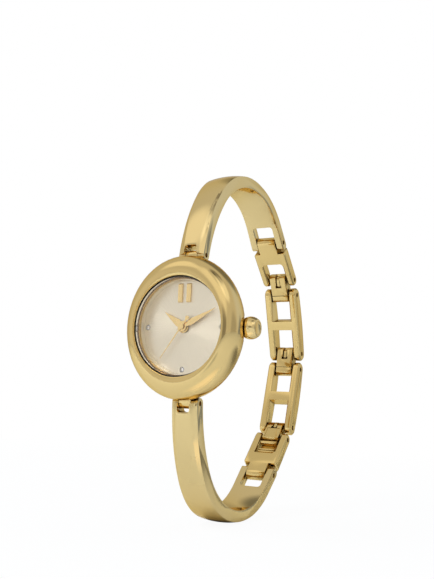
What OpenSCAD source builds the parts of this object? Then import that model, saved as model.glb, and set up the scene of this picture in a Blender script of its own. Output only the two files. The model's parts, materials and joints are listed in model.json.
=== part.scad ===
// Ladies' wristwatch on a hinged bangle, with a ladder-link closing chain.
// Millimetres. The origin is the centre of the case back's flat face.
// +Z points to 12 o'clock, +X to 3 o'clock, and the dial faces -Y.

/* [Case] */
// Length of the case from 12 to 6 o'clock
case_len = 24; // [23.5:0.25:26]
// Width of the case as a share of its length
case_ratio = 0.89; // [0.87:0.01:0.95]
// Height of the dome's top above the back
case_top = 8.35; // [8.2:0.05:9]
// Height of the widest line above the back
belly_h = 5.5; // [5.3:0.05:5.9]
// Radius of the curve under the widest line
belly_r = 4.6; // [4:0.1:5.2]
// Lean of the flank below that curve
flank_angle = 31; // [27:1:33]
// Height of the seam between case and case back
seam_h = 0.8; // [0.6:0.05:0.9]
// Drop of the dome from its top line to the window's edge
rim_drop = 0.3; // [0.1:0.05:0.4]
// Radius of the flat on the case back
back_flat_r = 7.4; // [6.5:0.1:8]
// Thickness of the case back at its plug
back_thick = 1.4; // [1.3:0.05:1.5]
// Wall of the case round the back's plug
case_wall = 0.54; // [0.45:0.01:0.65]

/* [Window] */
// Width of the rim from the window's bore to the case's edge at 3 o'clock
rim_w = 2.35; // [2.25:0.05:2.5]
// Width of the crystal's gasket
gasket_w = 0.21; // [0.15:0.01:0.3]
// Thickness of the crystal
crystal_thick = 1; // [0.8:0.05:1.1]
// Sink of the crystal's face below the rim
crystal_sink = 0.4; // [0.2:0.05:0.45]
// Width of the ledge that carries the crystal
ledge_w = 0.38; // [0.3:0.01:0.45]
// Thickness of that ledge
ledge_thick = 0.5; // [0.4:0.05:0.6]
// Width of the flange ring round the dial
flange_w = 0.55; // [0.45:0.05:0.7]

/* [Dial and hands] */
// Thickness of the dial
dial_thick = 0.4; // [0.3:0.05:0.45]
// Distance of the stones' middles from the flange ring
stone_inset = 0.78; // [0.6:0.02:1.1]
// Radius of a stone
stone_r = 0.45; // [0.3:0.05:0.5]
// Length of a baton of the marker at 12
marker_len = 3.2; // [2.5:0.1:3.4]
// Width of a baton
marker_w = 0.8; // [0.5:0.1:1]
// Length of the hour hand as a share of the minute hand
hour_share = 0.64; // [0.58:0.01:0.7]
// Width of the hour hand
hour_w = 1.25; // [0.9:0.05:1.4]
// Distance of the minute hand's tip from the flange ring
minute_short = 0.88; // [0.6:0.02:1.4]
// Width of the minute hand
minute_w = 1.05; // [0.8:0.05:1.2]
// Distance of the seconds hand's tip from the flange ring
second_short = 1.28; // [0.8:0.02:1.6]
// Hours shown at rest
shown_hour = 10; // [0:1:11]
// Minutes shown at rest
shown_minute = 10; // [0:1:59]
// Seconds shown at rest
shown_second = 36; // [0:1:59]

/* [Movement] */
// Width of the movement ring at 12 and 6 o'clock
ring_end_w = 1; // [0.9:0.05:1.1]
// Width of the movement ring at 3 and 9 o'clock
ring_side_w = 1.37; // [1.3:0.01:1.45]
// Room between the case back and the movement
back_room = 0.3; // [0.25:0.05:0.4]
// Thickness of the main plate
plate_thick = 0.55; // [0.45:0.05:0.6]
// Diameter of the button cell as a share of the movement's height
cell_share = 0.345; // [0.335:0.005:0.35]
// Height of the button cell
cell_h = 1.25; // [1.1:0.05:1.3]

/* [Crown] */
// Largest radius of the crown
crown_r = 1.86; // [1.6:0.02:2]
// Radius of the crown's end faces
crown_face_r = 1.25; // [1.15:0.05:1.3]
// Width of the collar at the crown's inner end
collar_w = 0.44; // [0.3:0.02:0.5]
// Length of the crown
crown_len = 2.7; // [2.5:0.1:3]
// Height of the stem's axis above the back
stem_h = 3.1; // [3.05:0.01:3.12]
// Radius of the stem
stem_r = 0.4; // [0.35:0.01:0.42]
// Pull of the crown to its setting place
crown_pull = 1; // [0.8:0.1:1]

/* [Arms] */
// Distance of each arm's hinge beyond the end of the case
hinge_out = 0.4; // [0.35:0.05:0.8]
// Height of the hinge above the back
hinge_h = 3.2; // [3:0.05:3.4]
// Thickness of an arm at its edges
arm_thick = 1.85; // [1.7:0.05:2]
// Width of an arm at the case
arm_w_case = 4.8; // [4.6:0.1:5.2]
// Width of an arm at its rear end
arm_w_rear = 7.1; // [6.8:0.1:7.4]
// Heading of an arm as it leaves the case
arm_heading = 83.2; // [80:0.2:86]
// Radius of the arm's first bend, on its middle line
bend_one_r = 26.9; // [24:0.1:30]
// Angle of the first bend
bend_one = 26.4; // [22:0.2:30]
// Radius of the arm's second bend, on its middle line
bend_two_r = 14.9; // [13.5:0.1:16]
// Angle of the second bend
bend_two = 102.4; // [98:0.2:106]
// Length of the arm's straight end
tail_len = 5.3; // [5:0.1:6]
// Turn of both arms towards 6 o'clock as worn
arm_droop = 4.8; // [3:0.1:6]
// Height of the rib at the case end
rib_h = 0.65; // [0.4:0.05:0.8]
// Radius of the crown across the rib
crown_across = 14; // [11:0.5:20]
// Half width of the rib at the case end
rib_half = 1.2; // [1:0.05:1.4]
// Radius of the coves beside the rib
cove_r = 2.5; // [2.2:0.1:3]
// Spread of the coves along the arm
cove_spread = 3.3; // [2.5:0.1:4]
// Width of the knuckle on the case
knuckle_w = 2.2; // [2:0.1:2.4]
// Depth of the notch from the hinge
notch_depth = 1.5; // [1.4:0.05:2]
// Radius of the hinge pins at the case
hinge_pin_r = 0.4; // [0.3:0.02:0.45]
// Width of the slot in the arm's rear fork
fork_slot = 4.3; // [4.1:0.1:4.5]
// Length of the slot from the hinge of the fork
fork_depth = 4.1; // [3:0.1:4.5]
// Reach of the fork past its hinge
fork_reach = 1.5; // [1.3:0.05:1.6]

/* [Chain] */
// Width of the links
link_w = 7; // [6.8:0.1:7.2]
// Radius of the link pins
link_pin_r = 0.45; // [0.4:0.01:0.5]
// Width of the bevel along the links' edges
bevel = 0.28; // [0.15:0.01:0.35]
// Distance between the hinges of an end link
end_len = 9.5; // [9.2:0.1:10]
// Thickness of an end link
end_thick = 2.4; // [2.2:0.1:2.5]
// Length of the solid part of an end link
end_solid = 2.6; // [2:0.1:3]
// Width of a leg of an end link
end_leg_w = 1.3; // [1.2:0.05:1.35]
// Distance between the hinges of a ladder link
ladder_len = 12.9; // [12.5:0.1:13.4]
// Thickness of a ladder link
ladder_thick = 3; // [2.6:0.1:3]
// Width of a ladder link's rail
rail_w = 1.45; // [1.3:0.05:1.5]
// Width of a ladder link's rung
rung_w = 1.85; // [1.4:0.05:2.2]
// Bow of the rails between their ends
rail_bow = 0.4; // [0.2:0.05:0.6]
// Distance between the hinges of a connector
connector_len = 3.46; // [3.4:0.02:3.7]
// Width of a connector
connector_w = 3.5; // [3.2:0.1:3.6]
// Thickness of a connector
connector_thick = 2.4; // [2.2:0.1:2.5]
// Width of the slot in a connector's hooked end
hook_slot_w = 0.95; // [0.8:0.05:1.2]
// Shares of the chain's turn at its six hinges, from the top
turn_end_one = 18.4; // [14:0.2:22]
// Second turn
turn_hook_one = 10.6; // [8:0.2:14]
// Third turn
turn_ladder_one = 25.2; // [22:0.2:28]
// Fourth turn
turn_hook_two = 9; // [7:0.2:12]
// Fifth turn
turn_ladder_two = 29.5; // [26:0.2:32]
// Sixth turn
turn_hook_three = 0.1; // [0:0.1:3]

/* [Fits] */
// Running clearance of a pin or shaft, on the radius
run_gap = 0.04; // [0.03:0.01:0.06]
// Clearance of a pressed or glued piece
seat_gap = 0.01; // [0.005:0.005:0.02]
// Clearance beside a knuckle
side_gap = 0.08; // [0.05:0.01:0.1]

/* [Hidden] */
$fn = 64;

steel = [0.82, 0.82, 0.83];
plate_gold = [0.82, 0.69, 0.42];
gold = [0.85, 0.68, 0.38];
brass = [0.8, 0.66, 0.36];
champagne = [0.8, 0.75, 0.65];

// Case outline, from the heights and curves above
case_half = case_len / 2;
belly_x = case_half - belly_r;
flank_top_r = belly_x + belly_r * cos(flank_angle);
flank_top_h = belly_h - belly_r * sin(flank_angle);
seam_r = flank_top_r - tan(flank_angle) * (flank_top_h - seam_h);
dome_r = case_top - belly_h;
dome_x = case_half - dome_r;
dome_top_h = case_top;
cavity_r = seam_r - case_wall;
cavity_half_w = cavity_r * case_ratio;
hinge_z = case_half + hinge_out;
knuckle_run = 1.9;
rim_h = case_top - rim_drop;

// Window and dial
window_r = case_half * case_ratio - rim_w;
crystal_h = rim_h - crystal_sink - crystal_thick;
crystal_r = window_r - gasket_w - 2 * seat_gap;
ledge_h = crystal_h - seat_gap;
ledge_low = ledge_h - ledge_thick;
ledge_r = window_r - ledge_w;
flange_r = window_r - flange_w;
stone_ring_r = flange_r - stone_inset;
minute_len = flange_r - minute_short;
hour_len = hour_share * minute_len;
second_len = flange_r - second_short;

// Movement plan: its places and teeth are laid out for one size and scaled by "cal"
move_len = 2 * (cavity_r - ring_end_w);
move_w = 2 * (cavity_half_w - ring_side_w);
layout_len = 16.8;
cal = move_len / layout_len;
cell_d = cell_share * move_len;

// Movement heights, from the back up
move_low = back_thick + back_room;
bridge_thick = 0.3;
wheel_thick = 0.15;
bridge_h = move_low + 0.05;
fifth_h = move_low + 0.45;
fourth_h = move_low + 0.75;
third_h = move_low + 1.08;
centre_h = move_low + 1.42;
plate_h = move_low + 1.8;
plate_top = plate_h + plate_thick;
minute_wheel_h = plate_top + 0.07;
hour_wheel_h = plate_top + 0.37;
dial_h = plate_top + 0.75;
dial_top = dial_h + dial_thick;
hour_hand_h = dial_top + 0.2;
minute_hand_h = dial_top + 0.5;
second_hand_h = dial_top + 0.8;
hand_thick = 0.15;

// Wheel work: tooth modules and arbors seen from the dial side
fifth_m = 0.1 * cal;
fourth_m = 0.12 * cal;
third_m = 0.12 * cal;
third_dist = third_m * (6 + 45) / 2;
centre_m = 2 * third_dist / (8 + 64);
minute_m = 0.12 * cal;
minute_dist = minute_m * (10 + 30) / 2;
hour_m = 2 * minute_dist / (10 + 40);
fifth_at = fourth_m * (6 + 30) / 2 * [cos(60), sin(60)];
rotor_at = fifth_at + fifth_m * (6 + 36) / 2 * [cos(75), sin(75)];
third_at = third_dist * [cos(165), sin(165)];
minute_at = minute_dist * [cos(-60), sin(-60)];
pivot_r = 0.1;
arbor_r = 0.18;
second_pipe_r = 0.2;
cannon_bore = second_pipe_r + run_gap;
cannon_r = 0.42;
hour_bore = cannon_r + run_gap;
hour_pipe_r = 0.75;

// Places of the fixed movement parts
cell_at = [-1.4, -4.95] * cal;
coil_y = 6.2 * cal;
coil_left = -4.4 * cal;
coil_right = 3.1 * cal;
winding_r = 0.85;
coil_h = move_low + 0.9;
stator_h = coil_h + 0.16;
stator_thick = 0.3;
pillar_left = [-6.3, 2.2] * cal;
pillar_right = [3.1, -2] * cal;
screw_r = 0.28;
pillar_r = 0.5;
lever_arm = 4.3 * cal;
groove_x = 6 * cal;
lever_at = [groove_x, lever_arm];
lever_h = stem_h - 0.6;
lever_thick = 0.15;
stem_end_x = 3.9 * cal;
clutch_x = 4.5 * cal;
clutch_len = 0.7;

// Crown seat on the case flank
crown_seat_x = case_ratio * flank_top_r - 0.5;
crown_x = crown_seat_x + 0.1;
crown_end_x = crown_x + crown_len;
tube_r = 0.9;
tube_bore = stem_r + 0.1;
tube_out_x = crown_x + 1.3;
seal_x = crown_x + 0.75;
seal_w = 0.38;

function way(a) = [cos(a), sin(a)];
function side_way(a) = [sin(a), -cos(a)];
function turned(p, a) = [p.x * cos(a) - p.y * sin(a), p.x * sin(a) + p.y * cos(a)];
function sum_to(v, n) = n <= 0 ? 0 : v[n - 1] + sum_to(v, n - 1);

// Middle line of an arm in its own side view, from its hinge at the case
bend_one_at = bend_one_r * side_way(arm_heading);
heading_two = arm_heading - bend_one;
bend_joint = bend_one_at - bend_one_r * side_way(heading_two);
bend_two_at = bend_joint + bend_two_r * side_way(heading_two);
heading_tail = heading_two - bend_two;
tail_start = bend_two_at - bend_two_r * side_way(heading_tail);
tail_end = tail_start + tail_len * way(heading_tail);
fork_at = tail_end - fork_reach * way(heading_tail);
knuckle_r = arm_thick / 2;

// Chain: one factor on all turns closes it between the two forks
upper_fork = [-hinge_h, hinge_z] + turned(fork_at, -arm_droop);
lower_fork = [-hinge_h, -hinge_z] + turned([fork_at.x, -fork_at.y], -arm_droop);
lens = [end_len, connector_len, ladder_len, connector_len, ladder_len, connector_len, end_len];
turns = [turn_end_one, turn_hook_one, turn_ladder_one, turn_hook_two, turn_ladder_two,
  turn_hook_three];
function hinge_point(k, n) = n == 0 ? [0, 0]
  : hinge_point(k, n - 1) + lens[n - 1] * way(-k * sum_to(turns, n - 1));
chain_span = norm(lower_fork - upper_fork);
function closing(low, high, n) = let (mid = (low + high) / 2) n == 0 ? mid
  : norm(hinge_point(mid, 7)) > chain_span ? closing(mid, high, n - 1)
  : closing(low, mid, n - 1);
turn_share = closing(0, 1.9, 30);
chord_way = lower_fork - upper_fork;
open_way = hinge_point(turn_share, 7);
chain_way = atan2(chord_way.y, chord_way.x) - atan2(open_way.y, open_way.x);
function hinge_at(n) = upper_fork + turned(hinge_point(turn_share, n), chain_way);
function link_way(n) = chain_way - turn_share * sum_to(turns, n);

module head() { rotate([90, 0, 0]) children(); }
module side(w) { rotate([90, 0, 90]) linear_extrude(w, center = true) children(); }
module cross_rod(r, l) { rotate([0, 90, 0]) cylinder(r = r, h = l, center = true); }
module disc(r, low, high) { translate([0, 0, low]) cylinder(r = r, h = high - low); }
module tube(r, bore, low, high) {
  difference() {
    disc(r, low, high);
    disc(bore, low - 1, high + 1);
  }
}
module oval(r, low, high) { scale([case_ratio, 1, 1]) disc(r, low, high); }
module link_place(n) { translate([0, hinge_at(n).x, hinge_at(n).y]) rotate([link_way(n), 0, 0]) children(); }
module back_place(n) {
  translate([0, hinge_at(n).x, hinge_at(n).y]) rotate([link_way(n - 1) + 180, 0, 0])
    mirror([0, 0, 1]) children();
}

// A square slot along +Y whose two near corners are rounded
module slot_shape(w, from, to, r) {
  translate([-w / 2, from + r]) square([w, to - from - r]);
  translate([r - w / 2, from]) square([w - 2 * r, r + 0.1]);
  for (s = [-1, 1]) translate([s * (w / 2 - r), from + r]) circle(r);
}
module teeth(count, m, thick) {
  root = m * (count / 2 - 1.1);
  tip = m * (count / 2 + 0.9);
  step = 360 / count;
  linear_extrude(thick) polygon([for (i = [0:count - 1]) for (k = [0:3])
    let (a = (i + [-0.32, -0.12, 0.12, 0.32][k]) * step) (k == 0 || k == 3 ? root : tip) * way(a)]);
}
module wheel(count, m, low, bore) {
  root = m * (count / 2 - 1.1);
  translate([0, 0, low]) difference() {
    teeth(count, m, wheel_thick);
    disc(bore, -1, 1);
    for (a = [36:72:324]) rotate([0, 0, a]) translate([root * 0.6, 0, 0]) disc(root * 0.24, -1, 1);
  }
}
module pinion(count, m, low, high, bore) {
  difference() {
    translate([0, 0, low]) teeth(count, m, high - low);
    disc(bore, low - 1, high + 1);
  }
}

// Case
module case_profile() {
  polygon([[0, seam_h], [seam_r, seam_h], [flank_top_r, flank_top_h], [0, flank_top_h]]);
  intersection() {
    translate([belly_x, belly_h]) circle(belly_r);
    translate([0, flank_top_h]) square([case_half, belly_h - flank_top_h]);
  }
  intersection() {
    translate([dome_x, belly_h]) circle(dome_r);
    translate([0, belly_h]) square([case_half, dome_r]);
  }
  polygon([[0, belly_h], [dome_x, belly_h], [dome_x, dome_top_h], [window_r, rim_h], [0, rim_h]]);
}
module crown_axis(r, low, high) { translate([0, 0, stem_h]) rotate([0, 90, 0]) disc(r, low, high); }
module case_body() color(plate_gold) head() difference() {
  union() {
    difference() {
      scale([case_ratio, 1, 1]) rotate_extrude() case_profile();
      for (s = [-1, 1]) translate([0, s * hinge_z, hinge_h])
        cross_rod(knuckle_r + 0.17, arm_w_case + 0.3);
    }
    for (s = [-1, 1]) translate([0, s * hinge_z, hinge_h]) {
      cross_rod(knuckle_r, knuckle_w);
      translate([-knuckle_w / 2, s > 0 ? -knuckle_run : 0, -knuckle_r]) cube([knuckle_w, knuckle_run, arm_thick]);
    }
  }
  oval(cavity_r, seam_h - 1, ledge_low);
  disc(ledge_r, ledge_low - 1, case_top + 1);
  disc(window_r, ledge_h, case_top + 1);
  for (s = [-1, 1]) translate([0, s * hinge_z, hinge_h])
    cross_rod(hinge_pin_r + run_gap, arm_w_case);
  crown_axis(tube_r + seat_gap, crown_seat_x - 3.5, crown_seat_x + 1);
  crown_axis(crown_r + 0.2, crown_seat_x, crown_seat_x + 4);
}
module case_back() color(plate_gold) head() {
  scale([case_ratio, 1, 1]) rotate_extrude()
    polygon([[0, 0], [back_flat_r, 0], [seam_r, seam_h], [cavity_r - 0.4, seam_h],
      [cavity_r - 0.4, back_thick], [0, back_thick]]);
}
module case_back_gasket() color([0.1, 0.1, 0.1]) head() difference() {
  oval(cavity_r - 0.02, seam_h + seat_gap, back_thick - 0.05);
  oval(cavity_r - 0.37, 0, back_thick + 1);
}
module crystal() color([0.85, 0.9, 0.92, 0.3]) head() disc(crystal_r, crystal_h, crystal_h + crystal_thick);
module crystal_gasket() color([0.9, 0.9, 0.85]) head()
  tube(window_r - seat_gap, crystal_r + seat_gap, crystal_h, crystal_h + crystal_thick - 0.15);
module dial_ring() color(plate_gold) head() rotate_extrude()
  polygon([[flange_r - 0.1, dial_top + seat_gap], [cavity_half_w - 0.05, dial_top + seat_gap],
    [cavity_half_w - 0.05, ledge_low - seat_gap], [flange_r, ledge_low - seat_gap]]);

// Dial and hands
module dial() color(champagne) head() difference() {
  disc(cavity_half_w - 0.15, dial_h, dial_top);
  disc(hour_pipe_r + 0.1, dial_h - 1, dial_top + 1);
  for (a = [0, -90, 180]) rotate([0, 0, a]) translate([stone_ring_r, 0, 0])
    disc(stone_r * 0.8 + seat_gap, dial_top - 0.2, dial_top + 1);
}
module dial_stones() color([0.95, 0.95, 1]) head()
  for (a = [0, -90, 180]) rotate([0, 0, a]) translate([stone_ring_r, 0, 0]) {
    disc(stone_r * 0.8, dial_top - 0.19, dial_top + 0.02);
    translate([0, 0, dial_top + 0.01]) cylinder(r1 = stone_r, r2 = stone_r * 0.55, h = 0.2);
  }
module baton(w, l, t) {
  rotate([90, 0, 90]) translate([0, 0, -w / 2]) linear_extrude(w)
    polygon([[-l / 2, 0], [l / 2, 0], [l / 2, t / 2], [l / 2 - 0.2, t], [0.2 - l / 2, t], [-l / 2, t / 2]]);
}
module dial_marker() color(gold) head() for (s = [-1, 1])
  translate([s * marker_w, stone_ring_r - marker_len / 2 + 0.3, dial_top]) baton(marker_w, marker_len, 0.3);
module hand(len, w, tail, low, hub, bore, angle) rotate([0, 0, -angle]) difference() {
  union() {
    translate([0, 0, low]) linear_extrude(hand_thick)
      polygon([[0, -tail], [w / 2, len * 0.28], [0, len], [-w / 2, len * 0.28]]);
    disc(hub, low, low + hand_thick);
  }
  disc(bore, low - 1, low + 1);
  for (s = [-1, 1]) translate([0, 0, low + hand_thick]) rotate([0, s * 8, 0])
    translate([-3, -4, 0.02]) cube([6, len + 8, 1]);
}
minute_angle = 6 * (shown_minute + shown_second / 60);
hour_angle = 30 * shown_hour + minute_angle / 12;
module hour_hand() color(gold) head()
  hand(hour_len, hour_w, 1.2, hour_hand_h, 1, hour_pipe_r + seat_gap, hour_angle);
module minute_hand() color(gold) head()
  hand(minute_len, minute_w, 1.2, minute_hand_h, 0.75, cannon_r + seat_gap, minute_angle);
module seconds_hand() color(gold) head() rotate([0, 0, -6 * shown_second]) difference() {
  union() {
    translate([0, 0, second_hand_h]) linear_extrude(0.1)
      polygon([[-0.12, -1.6], [0.12, -1.6], [0.05, second_len], [-0.05, second_len]]);
    disc(0.45, second_hand_h, second_hand_h + 0.2);
    translate([0, -1.8, 0]) disc(0.35, second_hand_h, second_hand_h + 0.1);
  }
  disc(second_pipe_r + seat_gap, second_hand_h - 1, second_hand_h + 0.12);
}

// Movement
module movement_outline(grow) {
  intersection() {
    circle(move_len / 2 + grow);
    square([move_w + 2 * grow, move_len + 2], center = true);
  }
}
module movement_ring() color([0.85, 0.85, 0.82]) head() difference() {
  oval(cavity_r - 0.05, move_low, dial_h - seat_gap);
  translate([0, 0, move_low - 1]) linear_extrude(dial_h) movement_outline(0.04);
  crown_axis(tube_r, 0, case_half);
}
module at(p) { translate([p.x, p.y, 0]) children(); }
module main_plate() color(brass) head() difference() {
  union() {
    translate([0, 0, plate_h]) linear_extrude(plate_thick) movement_outline(0);
    for (p = [pillar_left, pillar_right]) at(p) disc(pillar_r, bridge_h + bridge_thick, plate_h);
    for (x = [coil_left, coil_right]) at([x, coil_y])
      disc(pillar_r, stator_h + stator_thick + seat_gap, plate_h);
    translate([move_w / 2 - 0.6, -0.9, stem_h - 0.35]) cube([0.6, 1.8, plate_h - stem_h + 0.35]);
    at(lever_at) disc(0.2, lever_h - 0.15, plate_h);
    translate([0, 0, plate_top]) at(minute_at) disc(arbor_r, 0, 0.6);
  }
  crown_axis(stem_r + run_gap, stem_end_x - 0.5, move_w);
  crown_axis(0.8, clutch_x - 0.1, clutch_x + clutch_len + 0.1);
  disc(cannon_r + run_gap, plate_h - 1, plate_top + 1);
  for (p = [third_at, rotor_at, fifth_at]) at(p) disc(pivot_r + run_gap, plate_h - 1, plate_h + 0.35);
  for (p = [pillar_left, pillar_right, [coil_left, coil_y], [coil_right, coil_y]]) at(p)
    disc(screw_r, 0, plate_h + 0.3);
}
module train_bridge() color(steel) head() difference() {
  translate([0, 0, bridge_h]) linear_extrude(bridge_thick) {
    polygon([pillar_left + [-0.5, 0.5], pillar_left + [0, -1.2], cal * [-1.5, -1.3], pillar_right + [0, -0.7],
      pillar_right + [0.6, 0.6], rotor_at + [0.8, 0], rotor_at + [-0.3, 0.8]]);
  }
  for (p = [[0, 0], third_at, rotor_at, fifth_at]) at(p) disc(pivot_r + run_gap, 0, plate_h);
  for (p = [pillar_left, pillar_right]) at(p) disc(screw_r + seat_gap, 0, plate_h);
}
module movement_screws() color([0.5, 0.55, 0.7]) head() {
  for (p = [pillar_left, pillar_right]) at(p) screw(bridge_h, plate_h + 0.2);
  for (x = [coil_left, coil_right]) at([x, coil_y]) screw(coil_h - 0.15, plate_h + 0.2);
}
module screw(seat, tip) {
  difference() {
    union() {
      disc(screw_r - seat_gap, seat - 0.1, tip);
      disc(0.45, seat - 0.2 - seat_gap, seat - seat_gap);
    }
    translate([-1, -0.06, seat - 0.3]) cube([2, 0.12, 0.2]);
  }
}
module rotor() color([0.4, 0.4, 0.42]) head() at(rotor_at) {
  disc(pivot_r, bridge_h, plate_h + 0.2);
  pinion(6, fifth_m, fifth_h - 0.02, fifth_h + 0.2, 0.05);
  disc(0.15, fifth_h, fifth_h + 0.4);
  disc(0.9, fifth_h + 0.35, fifth_h + 0.95);
}
module fifth_wheel() color(gold) head() at(fifth_at) {
  disc(pivot_r, bridge_h, plate_h + 0.2);
  wheel(36, fifth_m, fifth_h, 0.05);
  pinion(6, fourth_m, fifth_h + 0.1, fourth_h + 0.25, 0.05);
}
module fourth_wheel() color(gold) head() {
  disc(pivot_r, bridge_h, fourth_h);
  wheel(30, fourth_m, fourth_h, 0.05);
  pinion(6, third_m, fourth_h + 0.1, third_h + 0.2, 0.05);
  disc(second_pipe_r, third_h, second_hand_h + 0.1);
}
module third_wheel() color(gold) head() at(third_at) {
  disc(pivot_r, bridge_h, plate_h + 0.2);
  wheel(45, third_m, third_h, 0.05);
  pinion(8, centre_m, third_h + 0.1, centre_h + 0.25, 0.05);
}
module centre_wheel() color(gold) head() difference() {
  union() {
    wheel(64, centre_m, centre_h, cannon_bore);
    disc(cannon_r, centre_h, minute_hand_h + hand_thick);
    translate([0, 0, minute_wheel_h]) teeth(10, minute_m, 0.25);
  }
  disc(cannon_bore, centre_h - 1, crystal_h);
}
module minute_wheel() color(brass) head() at(minute_at) {
  wheel(30, minute_m, minute_wheel_h, arbor_r + run_gap);
  pinion(10, hour_m, minute_wheel_h + 0.1, hour_wheel_h + 0.2, arbor_r + run_gap);
}
module hour_wheel() color(brass) head() difference() {
  union() {
    wheel(40, hour_m, hour_wheel_h, hour_bore);
    disc(hour_pipe_r, hour_wheel_h, hour_hand_h + hand_thick);
  }
  disc(hour_bore, hour_wheel_h - 1, crystal_h);
}
module circuit_board() color([0.15, 0.4, 0.25]) head() {
  translate([0, 0, bridge_h + 0.2]) linear_extrude(0.25)
    polygon(cal * [[1.95, -2.9], [6.5, -2.9], [6.3, -4.9], [4.4, -6.8], [1.95, -7.5]]);
  translate([2.4 * cal, -6.6 * cal, bridge_h + 0.45]) cube([1.8 * cal, 1.8 * cal, 0.4]);
}
module quartz_can() color(steel) head()
  translate([2.2 * cal, -3.9 * cal, bridge_h + 0.46 + 0.6]) rotate([0, 90, 0]) {
    cylinder(r = 0.6, h = 3.6 * cal);
    cylinder(r = 0.2, h = 4.1 * cal);
  }
module coil() color([0.75, 0.4, 0.2]) head() translate([0, coil_y, coil_h]) {
  difference() {
    translate([coil_left - 0.5, -0.5, -0.15]) cube([coil_right - coil_left + 1, 1, 0.3]);
    for (x = [coil_left, coil_right]) translate([x, 0, 0]) disc(screw_r + seat_gap, -1, 1);
  }
  rotate([0, 90, 0]) disc(winding_r, coil_left + 0.7, coil_right - 0.7);
}
module stator() color(steel) head() difference() {
  translate([0, 0, stator_h]) linear_extrude(stator_thick) {
    at(rotor_at) circle(1.35);
    polygon([[coil_left - 0.5, coil_y + 0.5], [coil_left - 0.5, 4 * cal], [rotor_at.x, 4 * cal],
      [rotor_at.x, 4.8 * cal], [coil_left + 0.5, 4.8 * cal], [coil_left + 0.5, coil_y + 0.5]]);
    polygon([[rotor_at.x, 3.4 * cal], [coil_right + 0.5, 3.7 * cal], [coil_right + 0.5, coil_y + 0.5],
      [coil_right - 0.5, coil_y + 0.5], [coil_right - 0.5, 4.8 * cal], [rotor_at.x, 4.8 * cal]]);
  }
  at(rotor_at) disc(1.1, 0, plate_h);
  for (x = [coil_left, coil_right]) at([x, coil_y]) disc(screw_r + seat_gap, 0, plate_h);
}
module button_cell() color(steel) head() at(cell_at) {
  disc(cell_d / 2, bridge_h + 0.05, bridge_h + 0.05 + cell_h - 0.25);
  disc(cell_d / 2 - 0.4, bridge_h + 0.05, bridge_h + 0.05 + cell_h);
}
module cell_strap() color(brass) head() at(cell_at) {
  translate([-cell_d / 2 - 0.4, -0.5, bridge_h - 0.11]) cube([cell_d + 0.8, 1, 0.15]);
  for (x = [-cell_d / 2 - 0.4, cell_d / 2 + 0.15])
    translate([x, -0.5, bridge_h - 0.11]) cube([0.25, 1, plate_h - bridge_h + 0.11 - seat_gap]);
}

// Setting work and crown
module winding_stem() color(steel) head() difference() {
  crown_axis(stem_r, stem_end_x, crown_end_x - 0.5);
  difference() {
    crown_axis(1, groove_x - 0.3, groove_x + 0.3);
    crown_axis(stem_r / 2, groove_x - 1, groove_x + 1);
  }
}
module clutch_wheel() color(steel) head() difference() {
  translate([clutch_x, 0, stem_h]) rotate([0, 90, 0]) teeth(12, 0.11, clutch_len);
  crown_axis(stem_r + run_gap, 0, case_half);
  crown_axis(stem_r + 0.12, clutch_x + 0.25, clutch_x + 0.45);
}
module setting_lever() color(steel) head() difference() {
  union() {
    translate([0, 0, lever_h]) linear_extrude(lever_thick) {
      at(lever_at) circle(0.5);
      polygon([[groove_x - 0.3, 0], [groove_x + 0.3, 0], lever_at + [0.4, 0], lever_at + [-0.4, 0]]);
      at([groove_x, 0]) circle(0.3);
      polygon([lever_at + [-0.3, 0.3], lever_at + [-1.6, 0.1], lever_at + [-1.6, -0.3],
        lever_at + [-0.3, -0.4]]);
    }
    at([groove_x, 0]) disc(0.15, lever_h, stem_h - stem_r / 2 - 0.05);
  }
  at(lever_at) disc(0.2 + run_gap, 0, plate_h);
}
module setting_lever_spring() color(steel) head() translate([0, 0, lever_h + lever_thick + 0.05])
  linear_extrude(0.15) polygon(cal * [[3.9, 1.6], [5.2, 1.5], [5.2, 2], [4.4, 3.4], [3.9, 3.4]]);
module crown_tube() color(plate_gold) head() difference() {
  crown_axis(tube_r, cavity_half_w - 0.3, tube_out_x);
  crown_axis(tube_bore, 0, case_half + 4);
}
module crown() color(plate_gold) head() translate([0, 0, stem_h]) rotate([0, 90, 0]) difference() {
  barrel_r = crown_len * 0.72;
  union() {
    translate([0, 0, crown_x + collar_w / 2]) rotate_extrude() {
      translate([crown_face_r, 0]) circle(collar_w / 2);
      translate([0, -collar_w / 2]) square([crown_face_r, collar_w]);
    }
    disc(crown_face_r, crown_x, crown_x + 1);
    intersection() {
      disc(crown_r + 1, crown_x + collar_w + 0.12, crown_end_x);
      translate([0, 0, crown_x + crown_len / 2 + 0.05]) rotate_extrude() intersection() {
        translate([crown_r - barrel_r, 0]) circle(barrel_r);
        translate([0, -5]) square([5, 10]);
      }
    }
  }
  disc(tube_r + 0.1, crown_x - 1, tube_out_x + 0.1);
  disc(tube_r + 0.25, seal_x, seal_x + seal_w + 2 * seat_gap);
  disc(stem_r + seat_gap, 0, crown_end_x - 0.4);
  disc(crown_face_r - 0.2, crown_end_x - 0.07, crown_end_x + 1);
}
module crown_gasket() color([0.1, 0.1, 0.1]) head() difference() {
  crown_axis(tube_r + 0.24, seal_x + seat_gap, seal_x + seat_gap + seal_w);
  crown_axis(tube_r + 0.02, 0, crown_end_x);
}

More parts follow.
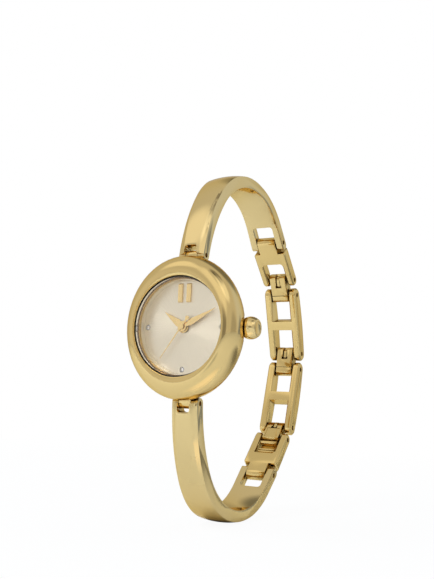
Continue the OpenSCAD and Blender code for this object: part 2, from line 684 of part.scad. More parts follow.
// Bangle arms
module ring_part(at_point, inner_r, outer_r, from, to) {
  translate(at_point) intersection() {
    difference() {
      circle(outer_r, $fn = 128);
      circle(inner_r, $fn = 128);
    }
    polygon([[0, 0], for (i = [0:6]) 1.6 * outer_r * way(from + (to - from) * i / 6)]);
  }
}
module arm_outline() {
  circle(knuckle_r);
  ring_part(bend_one_at, bend_one_r - knuckle_r, bend_one_r + knuckle_r, 90 + heading_two,
    90 + arm_heading);
  ring_part(bend_two_at, bend_two_r - knuckle_r, bend_two_r + knuckle_r, 90 + heading_tail,
    90 + heading_two + 0.01);
  translate(tail_start) rotate(heading_tail) {
    translate([-0.01, -knuckle_r]) square([tail_len - knuckle_r + 0.01, arm_thick]);
    translate([tail_len - knuckle_r, 0]) circle(knuckle_r);
  }
}
// The crowned rib keeps its height over the first bend and fades to nothing over the second
rib_fade = 0.8 * rib_h;
module crown_profile(r) intersection() {
  translate([r - crown_across, 0]) circle(crown_across, $fn = 128);
  translate([r - 2, -link_w]) square([3, 2 * link_w]);
}
module rib() {
  translate([0, bend_one_at.x, bend_one_at.y]) rotate([180 + heading_two, 0, 0]) rotate([0, 90, 0])
    rotate_extrude(angle = bend_one + 0.01, $fn = 128) crown_profile(bend_one_r + knuckle_r + rib_h);
  fade_at = bend_two_at + rib_fade * way(90 + heading_two);
  intersection() {
    side(link_w + 3) ring_part(bend_two_at, bend_two_r, bend_two_r + 3, 90 + heading_tail, 90 + heading_two);
    translate([0, fade_at.x, fade_at.y]) rotate([0, 90, 0])
      rotate_extrude($fn = 128) crown_profile(bend_two_r + knuckle_r + rib_h - rib_fade);
  }
}
module cove(at_point, heading, bend_r, x, spread, from, to) {
  translate([x, at_point.x, at_point.y]) rotate([heading, 0, 0]) rotate([0, 0, -spread])
    rotate([-from, 0, 0]) rotate([0, -90, 0]) rotate_extrude(angle = to - from, $fn = 96)
    translate([bend_r + knuckle_r + cove_r - 0.08, 0]) circle(cove_r, $fn = 48);
}
module arm() {
  cove_x = rib_half + sqrt(pow(cove_r, 2) - pow(cove_r - 0.08 - rib_h, 2));
  cove_ring = bend_one_r + knuckle_r + cove_r - 0.08;
  joint_x = cove_x + cove_ring * sin(bend_one) * sin(cove_spread);
  joint_spread = asin(cos(bend_one) * sin(cove_spread));
  difference() {
    intersection() {
      union() {
        side(link_w + 3) arm_outline();
        rib();
      }
      translate([0, 0, -50]) linear_extrude(100) polygon([[arm_w_case / 2, -4], [arm_w_case / 2, 0],
        [arm_w_rear / 2, tail_end.x], [arm_w_rear / 2, 50], [-arm_w_rear / 2, 50],
        [-arm_w_rear / 2, tail_end.x], [-arm_w_case / 2, 0], [-arm_w_case / 2, -4]]);
    }
    for (s = [0, 1]) mirror([s, 0, 0]) {
      cove(bend_one_at, arm_heading, bend_one_r, cove_x, cove_spread, -8, bend_one + 2);
      cove(bend_two_at, heading_two, bend_two_r, joint_x, joint_spread, 0, 100);
    }
    rotate([arm_heading - 90, 0, 0]) {
      translate([0, 3, 0]) rotate([90, 0, 0]) linear_extrude(8) mirror([0, 1, 0])
        slot_shape(knuckle_w + 2 * side_gap, -notch_depth, 3, 0.5);
    }
    translate([0, fork_at.x, fork_at.y]) rotate([heading_tail, 0, 0])
      translate([0, 0, -3]) linear_extrude(6) slot_shape(fork_slot, -fork_depth, 5, 0.6);
    cross_rod(hinge_pin_r + seat_gap, 12);
    translate([0, fork_at.x, fork_at.y]) cross_rod(link_pin_r + seat_gap, 12);
  }
}
module arm_pins() {
  cross_rod(hinge_pin_r, arm_w_case - 0.5);
  translate([0, fork_at.x, fork_at.y]) cross_rod(link_pin_r, arm_w_rear - 0.7);
}
module arm_place(s) {
  translate([0, -hinge_h, s * hinge_z]) rotate([-arm_droop, 0, 0]) mirror([0, 0, s > 0 ? 0 : 1]) children();
}
module upper_arm() color(plate_gold) arm_place(1) arm();
module lower_arm() color(plate_gold) arm_place(-1) arm();
module upper_arm_pins() color(plate_gold) arm_place(1) arm_pins();
module lower_arm_pins() color(plate_gold) arm_place(-1) arm_pins();

// Chain links: each starts at its first hinge, runs along +Y and has its outside on +Z
tongue_w = fork_slot - 0.4;
end_r = end_thick / 2;
shoulder = fork_reach + 0.5;
leg_in = link_w / 2 - end_leg_w;
end_round = 0.5;
module edge_cut(r, face) {
  polygon([[r - bevel - 0.1, face + 0.1], [r + 0.1, face - bevel - 0.1], [r + 1, face - bevel - 0.1],
    [r + 1, face + 1], [r - bevel - 0.1, face + 1]]);
}
module rim_cut(at_point, r, face, from, to) {
  translate([0, at_point.x, at_point.y]) rotate([from + 90, 0, 0]) rotate([0, 90, 0])
    rotate_extrude(angle = to - from) edge_cut(r, face);
}
module bar_cut(r, face, from, to) {
  translate([0, to, 0]) rotate([0, 90, -90]) linear_extrude(to - from) edge_cut(r, face);
}
module end_link() difference() {
  union() {
    side(tongue_w) {
      circle(end_r);
      translate([0, -end_r]) square([shoulder + 0.5, end_thick]);
    }
    side(link_w) {
      translate([shoulder, -end_r]) square([end_len - shoulder, end_thick]);
      translate([end_len, 0]) circle(end_r);
    }
  }
  translate([0, 0, -3]) linear_extrude(6) slot_shape(2 * leg_in, shoulder + end_solid, end_len + 3, end_round);
  cross_rod(link_pin_r + run_gap, link_w);
  translate([0, end_len, 0]) cross_rod(link_pin_r + seat_gap, link_w + 1);
  for (s = [0, 1]) mirror([s, 0, 0]) {
    for (t = [0, 1]) mirror([0, 0, t]) {
      bar_cut(end_r, link_w / 2, shoulder - 1, end_len);
      mirror([1, 0, 0]) bar_cut(end_r, -leg_in, shoulder + end_solid + end_round, end_len);
    }
    rim_cut([end_len, 0], end_r, link_w / 2, -90, 90);
    mirror([1, 0, 0]) rim_cut([end_len, 0], end_r, -leg_in, -90, 90);
    translate([link_w / 2 - end_round, shoulder + end_round, -3]) difference() {
      translate([0, -1, 0]) cube([1, 1, 6]);
      cylinder(r = end_round, h = 6);
    }
  }
}
module end_link_pin() { translate([0, end_len, 0]) cross_rod(link_pin_r, link_w - 0.6); }
ladder_r = ladder_thick / 2;
bow_r = (pow(ladder_len / 2, 2) + pow(rail_bow, 2)) / (2 * rail_bow);
bow_at = [ladder_len / 2, ladder_r + rail_bow - bow_r];
rail_in = link_w / 2 - rail_w;
rung_from = (ladder_len - rung_w) / 2;
rung_to = (ladder_len + rung_w) / 2;
module rail_cuts(face, from, to) {
  bar_cut(ladder_r, face, from, to);
  intersection() {
    translate([0, bow_at.x, bow_at.y]) rotate([0, 90, 0]) rotate_extrude($fn = 256) edge_cut(bow_r, face);
    translate([-link_w, from, 0]) cube([2 * link_w, to - from, ladder_thick]);
  }
}
module ladder_link() difference() {
  side(link_w) {
    circle(ladder_r);
    translate([ladder_len, 0]) circle(ladder_r);
    intersection() {
      translate([0, -ladder_r]) square([ladder_len, ladder_thick + rail_bow]);
      translate(bow_at) circle(bow_r, $fn = 256);
    }
  }
  for (y = [-3, rung_to]) translate([-rail_in, y, -4]) cube([2 * rail_in, rung_from + 3, 9]);
  for (y = [0, ladder_len]) translate([0, y, 0]) cross_rod(link_pin_r + seat_gap, link_w + 1);
  for (s = [0, 1]) mirror([s, 0, 0]) {
    rail_cuts(link_w / 2, 0, ladder_len);
    rim_cut([0, 0], ladder_r, link_w / 2, 90, 270);
    rim_cut([ladder_len, 0], ladder_r, link_w / 2, -90, 90);
    mirror([1, 0, 0]) {
      rail_cuts(-rail_in, 0, rung_from);
      rail_cuts(-rail_in, rung_to, ladder_len);
      rim_cut([0, 0], ladder_r, -rail_in, 90, 270);
      rim_cut([ladder_len, 0], ladder_r, -rail_in, -90, 90);
    }
  }
}
module ladder_pins() { for (y = [0, ladder_len]) translate([0, y, 0]) cross_rod(link_pin_r, link_w - 0.6); }

// Folded pieces between the links: a hook with a slot, a spring tongue in it and a rolled knuckle
fold_r = connector_thick / 2;
hook_r = fold_r + 0.2;
leaf_gap = 0.1;
leaf_h = link_pin_r + run_gap + 0.15;
slot_end = 1;
tongue_thick = 0.34;
module connector_outline() intersection() {
  union() {
    circle(hook_r);
    translate([connector_len, 0]) circle(hook_r);
    translate([0, -hook_r]) square([connector_len, 2 * hook_r]);
  }
  translate([-3, -fold_r]) square([connector_len + 6, connector_thick]);
}
module hook_slot() {
  side(hook_slot_w) {
    translate([-0.01, -3]) square([slot_end, 3 - leaf_h]);
    ring_part([0, 0], leaf_h, hook_r + 1, 180, 270);
  }
  translate([-hook_slot_w * 0.7, slot_end - 0.15, -3]) cube([hook_slot_w * 1.4, 0.55, 3 - leaf_h]);
}
module hook_tongue() side(hook_slot_w * 0.6) {
  ring_part([0, 0], leaf_h + seat_gap, leaf_h + tongue_thick, 205, 271);
  translate([0, -leaf_h - tongue_thick]) square([slot_end, tongue_thick - seat_gap]);
}
module connector() difference() {
  side(connector_w) connector_outline();
  for (y = [0, connector_len]) translate([0, y, 0]) cross_rod(link_pin_r + run_gap, connector_w + 1);
  translate([-3, -3, -leaf_h]) cube([6, connector_len + 2.2, leaf_gap]);
  translate([-3, connector_len - 0.35, -fold_r - 1]) cube([6, 0.12, 1.25]);
  hook_slot();
}

// Clasp: hooked over the last bar from the inside, with a finger tail past its own hinge
nose_r = 0.95;
clasp_r = 1;
module clasp_outline() {
  circle(clasp_r);
  polygon([[-0.6, -fold_r], [connector_len - 0.6, -fold_r], [connector_len, -nose_r], [connector_len, nose_r],
    [connector_len - 0.6, fold_r], [0, fold_r], [0, 0], [-clasp_r, 0]]);
  translate([connector_len, 0]) circle(nose_r);
  translate([-4.1, 0.1]) square([3.6, 0.6]);
  translate([-1.95, -0.5]) square([0.8, 1]);
  translate([-1.55, -0.5]) circle(0.4);
  for (y = [-3.25, -3.8]) translate([y, -0.3]) {
    circle(0.24);
    translate([-0.24, 0]) square([0.48, 0.5]);
  }
}
module clasp_hook() difference() {
  side(connector_w) difference() {
    clasp_outline();
    ring_part([0, 0], connector_len - link_pin_r - 0.05, connector_len + link_pin_r + 0.05, 0, 50);
  }
  cross_rod(link_pin_r + run_gap, connector_w + 1);
  translate([0, connector_len, 0]) cross_rod(link_pin_r + 0.05, connector_w + 1);
  translate([-connector_w / 2 + 0.4, -0.4, -fold_r - 1]) cube([connector_w - 0.8, 2.5, 1.1]);
  translate([0, connector_len, 0]) mirror([0, 1, 0]) hook_slot();
}
module clasp_spring() translate([0, connector_len, 0]) mirror([0, 1, 0]) intersection() {
  hook_tongue();
  translate([-1, -0.75, -2]) cube([2, 3, 4]);
}
module upper_end_link() color(plate_gold) link_place(0) end_link();
module upper_end_link_pin() color(plate_gold) link_place(0) end_link_pin();
module upper_connector() color(plate_gold) link_place(1) connector();
module upper_connector_tongue() color(plate_gold) link_place(1) hook_tongue();
module upper_ladder_link() color(plate_gold) link_place(2) ladder_link();
module upper_ladder_pins() color(plate_gold) link_place(2) ladder_pins();
module middle_connector() color(plate_gold) link_place(3) connector();
module middle_connector_tongue() color(plate_gold) link_place(3) hook_tongue();
module lower_ladder_link() color(plate_gold) link_place(4) ladder_link();
module lower_ladder_pins() color(plate_gold) link_place(4) ladder_pins();
module clasp() color(plate_gold) back_place(6) clasp_hook();
module clasp_tongue() color(plate_gold) back_place(6) clasp_spring();
module lower_end_link() color(plate_gold) back_place(7) end_link();
module lower_end_link_pin() color(plate_gold) back_place(7) end_link_pin();

case_body();
case_back();
case_back_gasket();
crystal();
crystal_gasket();
dial_ring();
dial();
dial_stones();
dial_marker();
hour_hand();
minute_hand();
seconds_hand();
movement_ring();
main_plate();
train_bridge();
circuit_board();
coil();
stator();
rotor();
fifth_wheel();
fourth_wheel();
third_wheel();
centre_wheel();
minute_wheel();
hour_wheel();
button_cell();
cell_strap();
quartz_can();
winding_stem();
clutch_wheel();
setting_lever();
setting_lever_spring();
movement_screws();
crown();
crown_gasket();
crown_tube();
upper_arm();
lower_arm();
upper_arm_pins();
lower_arm_pins();
upper_end_link();
upper_end_link_pin();
upper_connector();
upper_connector_tongue();
upper_ladder_link();
upper_ladder_pins();
middle_connector();
middle_connector_tongue();
lower_ladder_link();
lower_ladder_pins();
clasp();
clasp_tongue();
lower_end_link();
lower_end_link_pin();
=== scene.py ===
import bpy
import json
import math
from mathutils import Matrix, Vector

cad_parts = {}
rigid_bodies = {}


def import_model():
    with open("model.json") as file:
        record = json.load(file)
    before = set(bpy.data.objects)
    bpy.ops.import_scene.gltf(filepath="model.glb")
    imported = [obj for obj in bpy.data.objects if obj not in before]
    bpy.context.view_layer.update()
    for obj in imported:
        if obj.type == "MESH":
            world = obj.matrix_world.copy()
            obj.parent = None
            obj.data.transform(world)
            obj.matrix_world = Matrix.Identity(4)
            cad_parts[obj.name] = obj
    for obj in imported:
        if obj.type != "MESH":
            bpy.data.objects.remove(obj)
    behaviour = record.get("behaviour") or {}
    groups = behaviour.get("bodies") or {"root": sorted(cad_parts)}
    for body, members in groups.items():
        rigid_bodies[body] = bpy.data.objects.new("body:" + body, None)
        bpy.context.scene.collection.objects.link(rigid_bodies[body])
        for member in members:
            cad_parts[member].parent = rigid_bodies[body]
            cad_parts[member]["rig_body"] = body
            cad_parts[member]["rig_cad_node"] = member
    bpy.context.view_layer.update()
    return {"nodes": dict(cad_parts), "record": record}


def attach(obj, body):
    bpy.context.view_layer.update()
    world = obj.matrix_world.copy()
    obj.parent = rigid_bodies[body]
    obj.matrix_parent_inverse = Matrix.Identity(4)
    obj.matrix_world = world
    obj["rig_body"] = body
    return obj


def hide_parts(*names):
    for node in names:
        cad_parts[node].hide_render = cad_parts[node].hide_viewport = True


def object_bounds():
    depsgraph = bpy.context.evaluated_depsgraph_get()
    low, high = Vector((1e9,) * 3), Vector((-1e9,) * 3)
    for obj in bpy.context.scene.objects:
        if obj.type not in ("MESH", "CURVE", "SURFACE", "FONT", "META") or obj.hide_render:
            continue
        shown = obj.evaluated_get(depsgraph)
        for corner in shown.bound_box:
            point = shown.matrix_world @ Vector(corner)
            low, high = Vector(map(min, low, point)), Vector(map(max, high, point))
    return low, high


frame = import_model()
print("frame loaded", len(frame["nodes"]), "nodes")
scene = bpy.context.scene


def deselectAll():
    if bpy.context.mode != "OBJECT":
        bpy.ops.object.mode_set(mode="OBJECT")
    bpy.ops.object.select_all(action="DESELECT")


# shader nodes; an input takes a plain value or another node's output
def setInputs(tree, node, inputs):
    for socket, value in inputs.items():
        if isinstance(value, bpy.types.NodeSocket):
            tree.links.new(value, node.inputs[socket])
        else:
            node.inputs[socket].default_value = value


def addNode(tree, kind, inputs, **settings):
    node = tree.nodes.new("ShaderNode" + kind)
    for name, value in settings.items():
        setattr(node, name, value)
    setInputs(tree, node, inputs)
    return node


def newMaterial(name):
    material = bpy.data.materials.new(name)
    material.use_nodes = True
    tree = material.node_tree
    return material, tree, tree.nodes["Principled BSDF"]


def objectPlace(tree):
    return addNode(tree, "TexCoord", {}).outputs["Object"]


def awayFromMiddle(tree):
    return addNode(tree, "VectorMath", {0: objectPlace(tree)}, operation="LENGTH").outputs["Value"]


def noise(tree, place, scale, detail=2):
    return addNode(tree, "TexNoise", {"Vector": place, "Scale": scale, "Detail": detail}).outputs[0]


def mixShaders(tree, share, first, second):
    return addNode(tree, "MixShader", {0: share, 1: first.outputs[0], 2: second.outputs[0]}).outputs[0]


def opaque(colour, share=1):
    return (*(min(1, c * share) for c in colour), 1)


def toned(tree, share, colour, tones):
    # the colour a little darker and lighter by turns
    ends = {1: opaque(colour, tones[0]), 2: opaque(colour, tones[1])}
    return addNode(tree, "MixRGB", {0: share, **ends}).outputs[0]


def seenAsWhite(tree):
    # 1 for what the camera sees, straight or through the crystal
    path = addNode(tree, "LightPath", {})
    rays = {0: path.outputs["Is Camera Ray"], 1: path.outputs["Is Transmission Ray"]}
    return addNode(tree, "Math", rays, operation="MAXIMUM").outputs[0]


# camera, set from the photograph's perspective
cameraSettings = {
    "turn": 28.0,  # degrees round the object, towards 3 o'clock
    "lift": -8.4,  # degrees, below the middle of the dial
    "roll": 2.25,
    "place": (0.0609, -0.1089, -0.0112),
    "lens": 45.19,  # mm, for the sensor's width
    "sensor": 36,
    "nearest": 0.002,
}


def addCamera(values):
    turn, lift, roll = (math.radians(values[k]) for k in ("turn", "lift", "roll"))
    back = Vector((math.sin(turn) * math.cos(lift), -math.cos(turn) * math.cos(lift), math.sin(lift)))
    right = Vector((math.cos(turn), math.sin(turn), 0))
    up = back.cross(right)
    rolledRight = right * math.cos(roll) + up * math.sin(roll)
    rolledUp = back.cross(rolledRight)
    data = bpy.data.cameras.new("photoCamera")
    data.sensor_width = values["sensor"]
    data.lens = values["lens"]
    data.clip_start = values["nearest"]
    cameraObject = bpy.data.objects.new("photoCamera", data)
    scene.collection.objects.link(cameraObject)
    turnMatrix = Matrix((rolledRight, rolledUp, back)).transposed().to_4x4()
    cameraObject.matrix_world = Matrix.Translation(values["place"]) @ turnMatrix
    scene.camera = cameraObject


addCamera(cameraSettings)
print("camera placed")

# floor
floorSettings = {
    "size": 1.6,
    "middle": (0, 0.02),
    "colour": (0.84, 0.89, 0.95),
    "rough": 0.9,
    "white": (0.95, 1),  # shares of plain white that the camera sees in it, near and far
    "fade": (0.04, 0.22),  # distances from its middle for these two
}


def addFloor(values, low):
    deselectAll()
    bpy.ops.mesh.primitive_plane_add(size=values["size"], location=(*values["middle"], low))
    floor = bpy.context.object
    floor.name = "studioFloor"
    material, tree, shader = newMaterial("floorPaper")
    setInputs(tree, shader, {"Base Color": opaque(values["colour"]), "Roughness": values["rough"]})
    nearEnd, farEnd = values["fade"]
    nearWhite, farWhite = values["white"]
    fade = addNode(tree, "MapRange", {
        "Value": awayFromMiddle(tree), "From Min": nearEnd, "From Max": farEnd,
        "To Min": nearWhite, "To Max": farWhite,
    })
    share = addNode(tree, "Math", {0: seenAsWhite(tree), 1: fade.outputs[0]}, operation="MULTIPLY")
    white = addNode(tree, "Emission", {})
    mixed = mixShaders(tree, share.outputs[0], shader, white)
    setInputs(tree, tree.nodes["Material Output"], {0: mixed})
    floor.data.materials.append(material)


# soft-edged cards just over the floor, seen only in mirroring surfaces: painted reflections, one glowing card
# for a highlight on the case and dark cards that paint dark patches into the reflections
cardSettings = {
    "step": 0.0005,  # height of each card over the one before
    "fade": (0.5, 0.1),  # shares of the card's size where it starts and is full
    "tint": (1, 0.96, 0.92),
    "cards": {
        # first a bright card that paints a highlight on the case's lower right, then dark cards that paint
        # shade into the reflections
        "paintedHighlightCard": {"middle": (0.013, -0.021), "size": (0.044, 0.034), "cover": 0.7, "level": 1.3},
        "paintedDarkFarCard": {"middle": (0, -0.14), "size": (0.07, 0.15), "cover": 0.4, "level": 0.04},
        "paintedDarkSideCard": {"middle": (0.06, 0.065), "size": (0.13, 0.16), "cover": 0.7, "level": 0.04},
        "paintedDarkRearCard": {"middle": (0.01, 0.16), "size": (0.16, 0.26), "cover": 0.45, "level": 0.04},
    },
}


def cardPaper(name, values, cover, level):
    material, tree, _ = newMaterial(name)
    start, full = values["fade"]
    edge = addNode(tree, "MapRange", {
        "Value": awayFromMiddle(tree), "From Min": start, "From Max": full, "To Max": cover,
    }, interpolation_type="SMOOTHSTEP")
    clear = addNode(tree, "BsdfTransparent", {})
    # the glow is a painted reflection: bright on the highlight card, near black on the dark cards
    paintedGlow = addNode(tree, "Emission", {"Color": opaque(values["tint"]), "Strength": level})
    setInputs(tree, tree.nodes["Material Output"], {0: mixShaders(tree, edge.outputs[0], clear, paintedGlow)})
    return material


def addCards(values, low):
    for count, (name, own) in enumerate(values["cards"].items(), 1):
        bpy.ops.mesh.primitive_plane_add(size=1, location=(*own["middle"], low + values["step"] * count))
        card = bpy.context.object
        card.name = name
        card.scale = (*own["size"], 1)
        card.data.materials.append(cardPaper(name + "Paper", values, own["cover"], own["level"]))
        for ray in ("camera", "diffuse", "shadow", "transmission"):
            setattr(card, "visible_" + ray, False)


# lamps
lampSettings = {
    "keyPanel": {"place": (-0.18, -0.24, 0.30), "aim": (-0.05, -0.06, -0.04), "side": 0.24, "watts": 0.8},
    "topPanel": {"place": (0.06, 0.06, 0.42), "aim": (0, 0.015, 0), "side": 0.30, "watts": 0.2},
}


def aimed(place, target):
    way = Vector(target) - Vector(place)
    return Matrix.Translation(place) @ way.to_track_quat("-Z", "Y").to_matrix().to_4x4()


def addLamps(lamps):
    for name, values in lamps.items():
        data = bpy.data.lights.new(name, "AREA")
        data.size = values["side"]
        data.energy = values["watts"]
        lamp = bpy.data.objects.new(name, data)
        scene.collection.objects.link(lamp)
        lamp.matrix_world = aimed(values["place"], values["aim"])
        lamp.visible_glossy = False  # metal mirrors the room alone


# room, with bright and dark parts that the metal mirrors
roomSettings = {
    "level": (0.64, 0.65, 0.66),
    "parts": [  # direction, cosines where it starts and is full, what it adds to the level
        ((-0.47, -0.48, 0.745), 0.93, 0.99, (0.38, 0.38, 0.38)),
        ((0.2, -0.74, 0.64), 0.84, 0.96, (0.34, 0.34, 0.34)),
        ((0.567, -0.355, 0.743), 0.93, 0.98, (0.4, 0.42, 0.46)),
        ((0.359, -0.191, 0.914), 0.966, 0.989, (-0.36, -0.37, -0.38)),
        ((0.04, 0.64, 0.77), 0.86, 0.95, (-0.42, -0.42, -0.42)),
        ((0.67, 0.67, 0.31), 0.8, 0.97, (0.04, 0.1, 0.24)),
        ((0.98, -0.15, 0), 0.9, 0.98, (-0.18, -0.18, -0.18)),
        ((0.3, -0.45, 0.84), 0.962, 0.985, (-0.25, -0.25, -0.25)),
        ((0.22, -0.97, 0.08), 0.95, 0.99, (-0.36, -0.37, -0.38)),
        ((0.72, 0.69, -0.06), 0.93, 0.985, (-0.42, -0.43, -0.44)),
        ((-0.8, -0.6, 0.05), 0.85, 0.97, (0.1, 0.1, 0.11)),
        ((-0.35, 0.9, 0), 0.8, 0.95, (-0.18, -0.18, -0.18)),
    ],
}


def addRoom(values):
    world = bpy.data.worlds.new("studioRoom")
    scene.world = world
    world.use_nodes = True
    tree = world.node_tree
    sight = addNode(tree, "TexCoord", {}).outputs["Generated"]
    level = values["level"]
    for way, start, full, amount in values["parts"]:
        turn = addNode(tree, "VectorMath", {0: sight, 1: Vector(way).normalized()}, operation="DOT_PRODUCT")
        soft = addNode(tree, "MapRange", {
            "Value": turn.outputs["Value"], "From Min": start, "From Max": full,
        }, interpolation_type="SMOOTHSTEP")
        terms = {0: soft.outputs[0], 1: amount, 2: level}
        level = addNode(tree, "VectorMath", terms, operation="MULTIPLY_ADD").outputs[0]
    room = tree.nodes["Background"]
    setInputs(tree, room, {"Color": level})
    white = addNode(tree, "Background", {"Color": (1, 1, 1, 1), "Strength": 1})
    setInputs(tree, tree.nodes["World Output"], {0: mixShaders(tree, seenAsWhite(tree), room, white)})


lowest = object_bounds()[0][2]
addFloor(floorSettings, lowest)
addCards(cardSettings, lowest)
addLamps(lampSettings)
addRoom(roomSettings)
scene.view_settings.view_transform = "Standard"
print("studio ready")

# polished, satin and stamped metal
polish = {
    "tones": (0.96, 1.03),  # shares of the colour between which it clouds
    "wear": 120,  # scale of the clouds
    "scratchDepth": 0.00005,
    "shut": 0.25,  # openness of a corner that is fully darkened by painted shade
    "open": 0.8,  # openness of a place with no painted shade
    "samples": 8,
}
goldEdge = (0.9, 0.76, 0.5)
# in each gold, the darkest colour and the reach set the painted shade in its gaps and inner corners
metalFinishes = {
    "caseGold": {"colour": (0.80, 0.58, 0.24), "rough": 0.1, "grain": 0.03, "fine": 900, "bump": 0.01,
                 "edge": goldEdge, "cornerShadeColour": (0.16, 0.09, 0.03), "reach": 0.0006},
    "armGold": {"colour": (0.80, 0.60, 0.27), "rough": 0.1, "grain": 0.03, "fine": 900, "bump": 0.01,
                "edge": goldEdge, "cornerShadeColour": (0.16, 0.09, 0.03), "reach": 0.0008},
    "crownGold": {"colour": (0.84, 0.62, 0.27), "rough": 0.06, "grain": 0.02, "fine": 900, "bump": 0.01,
                  "edge": goldEdge, "cornerShadeColour": (0.12, 0.07, 0.02), "reach": 0.0005},
    "chainGold": {"colour": (0.80, 0.57, 0.22), "rough": 0.13, "grain": 0.03, "fine": 1800, "bump": 0.03,
                  "stretch": (1, 0.05, 0.05), "edge": goldEdge, "cornerShadeColour": (0.1, 0.05, 0.015), "reach": 0.0009},
    "pinGold": {"colour": (0.42, 0.28, 0.11), "rough": 0.25, "grain": 0.05, "fine": 1500, "bump": 0.03},
    "satinSteel": {"colour": (0.62, 0.61, 0.6), "rough": 0.3, "grain": 0.08, "fine": 1400, "bump": 0.05},
    "gilt": {"colour": (0.78, 0.57, 0.25), "rough": 0.16, "grain": 0.04, "fine": 1200, "bump": 0.02},
    "stampedBrass": {"colour": (0.76, 0.6, 0.32), "rough": 0.34, "grain": 0.1, "fine": 1500, "bump": 0.06},
}


def paintedCornerShade(tree, tone, cornerShadeColour, reach):
    # painted shade: gaps and inner corners darkened by how shut in they are (ambient occlusion)
    gap = addNode(tree, "AmbientOcclusion", {"Distance": reach}, samples=polish["samples"])
    unshadedShare = addNode(tree, "MapRange", {
        "Value": gap.outputs["AO"], "From Min": polish["shut"], "From Max": polish["open"],
    })
    return addNode(tree, "MixRGB", {0: unshadedShare.outputs[0], 1: opaque(cornerShadeColour), 2: tone}).outputs[0]


def metalFinish(name, values):
    material, tree, shader = newMaterial(name)
    place = objectPlace(tree)
    along = addNode(tree, "Mapping", {"Vector": place, "Scale": values.get("stretch", (1, 1, 1))}).outputs[0]
    wear = noise(tree, place, polish["wear"], detail=3)
    tone = toned(tree, wear, values["colour"], polish["tones"])
    # painted shade darkens the gold in gaps and inner corners, for the finishes that have it
    if "cornerShadeColour" in values:
        tone = paintedCornerShade(tree, tone, values["cornerShadeColour"], values["reach"])
    smoothest, roughest = values["rough"] - values["grain"], values["rough"] + values["grain"]
    roughness = addNode(tree, "MapRange", {"Value": wear, "To Min": smoothest, "To Max": roughest})
    scratches = addNode(tree, "Bump", {
        "Height": noise(tree, along, values["fine"], detail=4), "Strength": values["bump"],
        "Distance": polish["scratchDepth"],
    })
    setInputs(tree, shader, {
        "Metallic": 1, "Specular Tint": opaque(values.get("edge", (1, 1, 1))), "Base Color": tone,
        "Roughness": roughness.outputs[0], "Normal": scratches.outputs[0],
    })
    return material


# rubber, plastic, board, wire and magnet
plainTones = (0.85, 1.1)
plainCloud = 700
plainFinishes = {
    "blackRubber": {"colour": (0.03, 0.03, 0.03), "rough": 0.6},
    "paleNylon": {"colour": (0.82, 0.82, 0.78), "rough": 0.5},
    "greenBoard": {"colour": (0.03, 0.2, 0.1), "rough": 0.35},
    "copperWire": {"colour": (0.6, 0.26, 0.1), "rough": 0.3},
    "greyMagnet": {"colour": (0.2, 0.2, 0.21), "rough": 0.45},
}


def plainFinish(name, values):
    material, tree, shader = newMaterial(name)
    tone = toned(tree, noise(tree, objectPlace(tree), plainCloud), values["colour"], plainTones)
    setInputs(tree, shader, {"Base Color": tone, "Roughness": values["rough"]})
    return material


# lacquered dial with fine rays from the centre
dialFinish = {
    "colour": (0.86, 0.77, 0.6),
    "tones": (0.92, 1.06),
    "rough": 0.36,
    "metal": 0.9,
    "rays": 24,
    "bump": 0.4,
    "depth": 0.0001,
    "brushed": 0.85,
}


def sunrayFinish(name, values):
    material, tree, shader = newMaterial(name)
    split = addNode(tree, "SeparateXYZ", {0: objectPlace(tree)})
    angle = addNode(tree, "Math", {0: split.outputs["X"], 1: split.outputs["Z"]}, operation="ARCTAN2")
    turned = addNode(tree, "CombineXYZ", {"X": angle.outputs[0]})
    rays = noise(tree, turned.outputs[0], values["rays"], detail=5)
    brush = addNode(tree, "Bump", {"Height": rays, "Strength": values["bump"], "Distance": values["depth"]})
    flip = addNode(tree, "Math", {0: split.outputs["X"], 1: -1}, operation="MULTIPLY")
    around = addNode(tree, "CombineXYZ", {"X": split.outputs["Z"], "Z": flip.outputs[0]})
    setInputs(tree, shader, {
        "Base Color": toned(tree, rays, values["colour"], values["tones"]), "Normal": brush.outputs[0],
        "Tangent": around.outputs[0], "Anisotropic": values["brushed"], "Roughness": values["rough"],
        "Metallic": values["metal"],
    })
    return material


# crystal and stones
glassFinishes = {
    "clearCrystal": {"ior": 1.45, "rough": 0.01},
    "clearStone": {"ior": 2.2, "rough": 0.01},
}
glassCloud = 300


def glassFinish(name, values):
    material, tree, shader = newMaterial(name)
    cloud = noise(tree, objectPlace(tree), glassCloud)
    roughness = addNode(tree, "MapRange", {"Value": cloud, "To Min": 0, "To Max": values["rough"]})
    setInputs(tree, shader, {
        "Base Color": (1, 1, 1, 1), "Transmission Weight": 1, "IOR": values["ior"],
        "Roughness": roughness.outputs[0],
    })
    return material


metals = {name: metalFinish(name, values) for name, values in metalFinishes.items()}
plains = {name: plainFinish(name, values) for name, values in plainFinishes.items()}
glasses = {name: glassFinish(name, values) for name, values in glassFinishes.items()}
slotFinish = {
    "case_gold": metals["caseGold"],
    "steel": metals["satinSteel"],
    "dial_champagne": sunrayFinish("dialLacquer", dialFinish),
    "gilt": metals["gilt"],
    "brass": metals["stampedBrass"],
    "mineral_glass": glasses["clearCrystal"],
    "clear_stone": glasses["clearStone"],
    "seal": plains["blackRubber"],
    "pale_plastic": plains["paleNylon"],
    "board": plains["greenBoard"],
    "winding": plains["copperWire"],
    "magnet": plains["greyMagnet"],
}
print("finishes made", len(slotFinish))

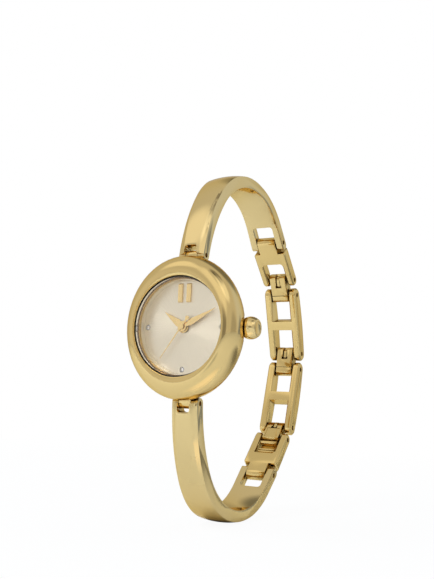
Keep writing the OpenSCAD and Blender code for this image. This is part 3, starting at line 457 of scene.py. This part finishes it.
# merged copies of the gold pieces, with their edges eased as polishing leaves them
easedEdges = {
    "case_body": 0.00008,
    "case_back": 0.00005,
    "upper_arm": 0.00008,
    "lower_arm": 0.00008,
    "crown": 0.00004,
    "upper_end_link": 0.00006,
    "lower_end_link": 0.00006,
    "upper_connector": 0.00006,
    "middle_connector": 0.00006,
    "upper_ladder_link": 0.00006,
    "lower_ladder_link": 0.00006,
    "clasp": 0.00006,
}
easing = {
    "merge": 0.000001,
    "segments": 2,
    "flat": math.radians(0.3),  # faces within this angle become one
    "sharp": math.radians(35),  # edges past this angle are eased
    "smooth": math.radians(32),
}
bodyOf = {node: body for body, members in frame["record"]["behaviour"]["bodies"].items() for node in members}
slotOf = {subpart["node"]: subpart["material_slot"] for subpart in frame["record"]["subparts"]}


def copyOf(node):
    piece = frame["nodes"][node].copy()
    piece.data = piece.data.copy()
    piece.name = node + "Eased"
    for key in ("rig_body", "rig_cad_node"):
        del piece[key]
    piece.parent = None
    scene.collection.objects.link(piece)
    return piece


def easeNode(node, width):
    deselectAll()
    piece = copyOf(node)
    bpy.context.view_layer.objects.active = piece
    piece.select_set(True)
    bpy.ops.object.mode_set(mode="EDIT")
    bpy.ops.mesh.select_all(action="SELECT")
    bpy.ops.mesh.remove_doubles(threshold=easing["merge"])
    bpy.ops.mesh.dissolve_limited(angle_limit=easing["flat"])
    bpy.ops.mesh.customdata_custom_splitnormals_clear()
    bpy.ops.object.mode_set(mode="OBJECT")
    bevel = piece.modifiers.new("eased", "BEVEL")
    bevel.width = width
    bevel.segments = easing["segments"]
    bevel.limit_method = "ANGLE"
    bevel.angle_limit = easing["sharp"]
    bevel.use_clamp_overlap = True
    bpy.ops.object.modifier_apply(modifier=bevel.name)
    bpy.ops.object.shade_smooth_by_angle(angle=easing["smooth"])
    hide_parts(node)
    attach(piece, bodyOf[node])
    return piece


eased = {node: easeNode(node, width) for node, width in easedEdges.items()}
print("edges eased", {node: len(piece.data.polygons) for node, piece in eased.items()})

# the gold of a piece follows the first of these words that its name holds
goldOf = {
    "_pin": "pinGold",
    "crown": "crownGold",
    "arm": "armGold",
    "link": "chainGold",
    "connector": "chainGold",
    "clasp": "chainGold",
}


def finishOf(node):
    if slotOf[node] == "case_gold":
        gold = next((gold for word, gold in goldOf.items() if word in node), "caseGold")
        return metals[gold]
    return slotFinish[slotOf[node]]


for node in slotOf:
    for item in filter(None, (frame["nodes"][node], eased.get(node))):
        item.data.materials.clear()
        item.data.materials.append(finishOf(node))
print("CAD nodes finished")
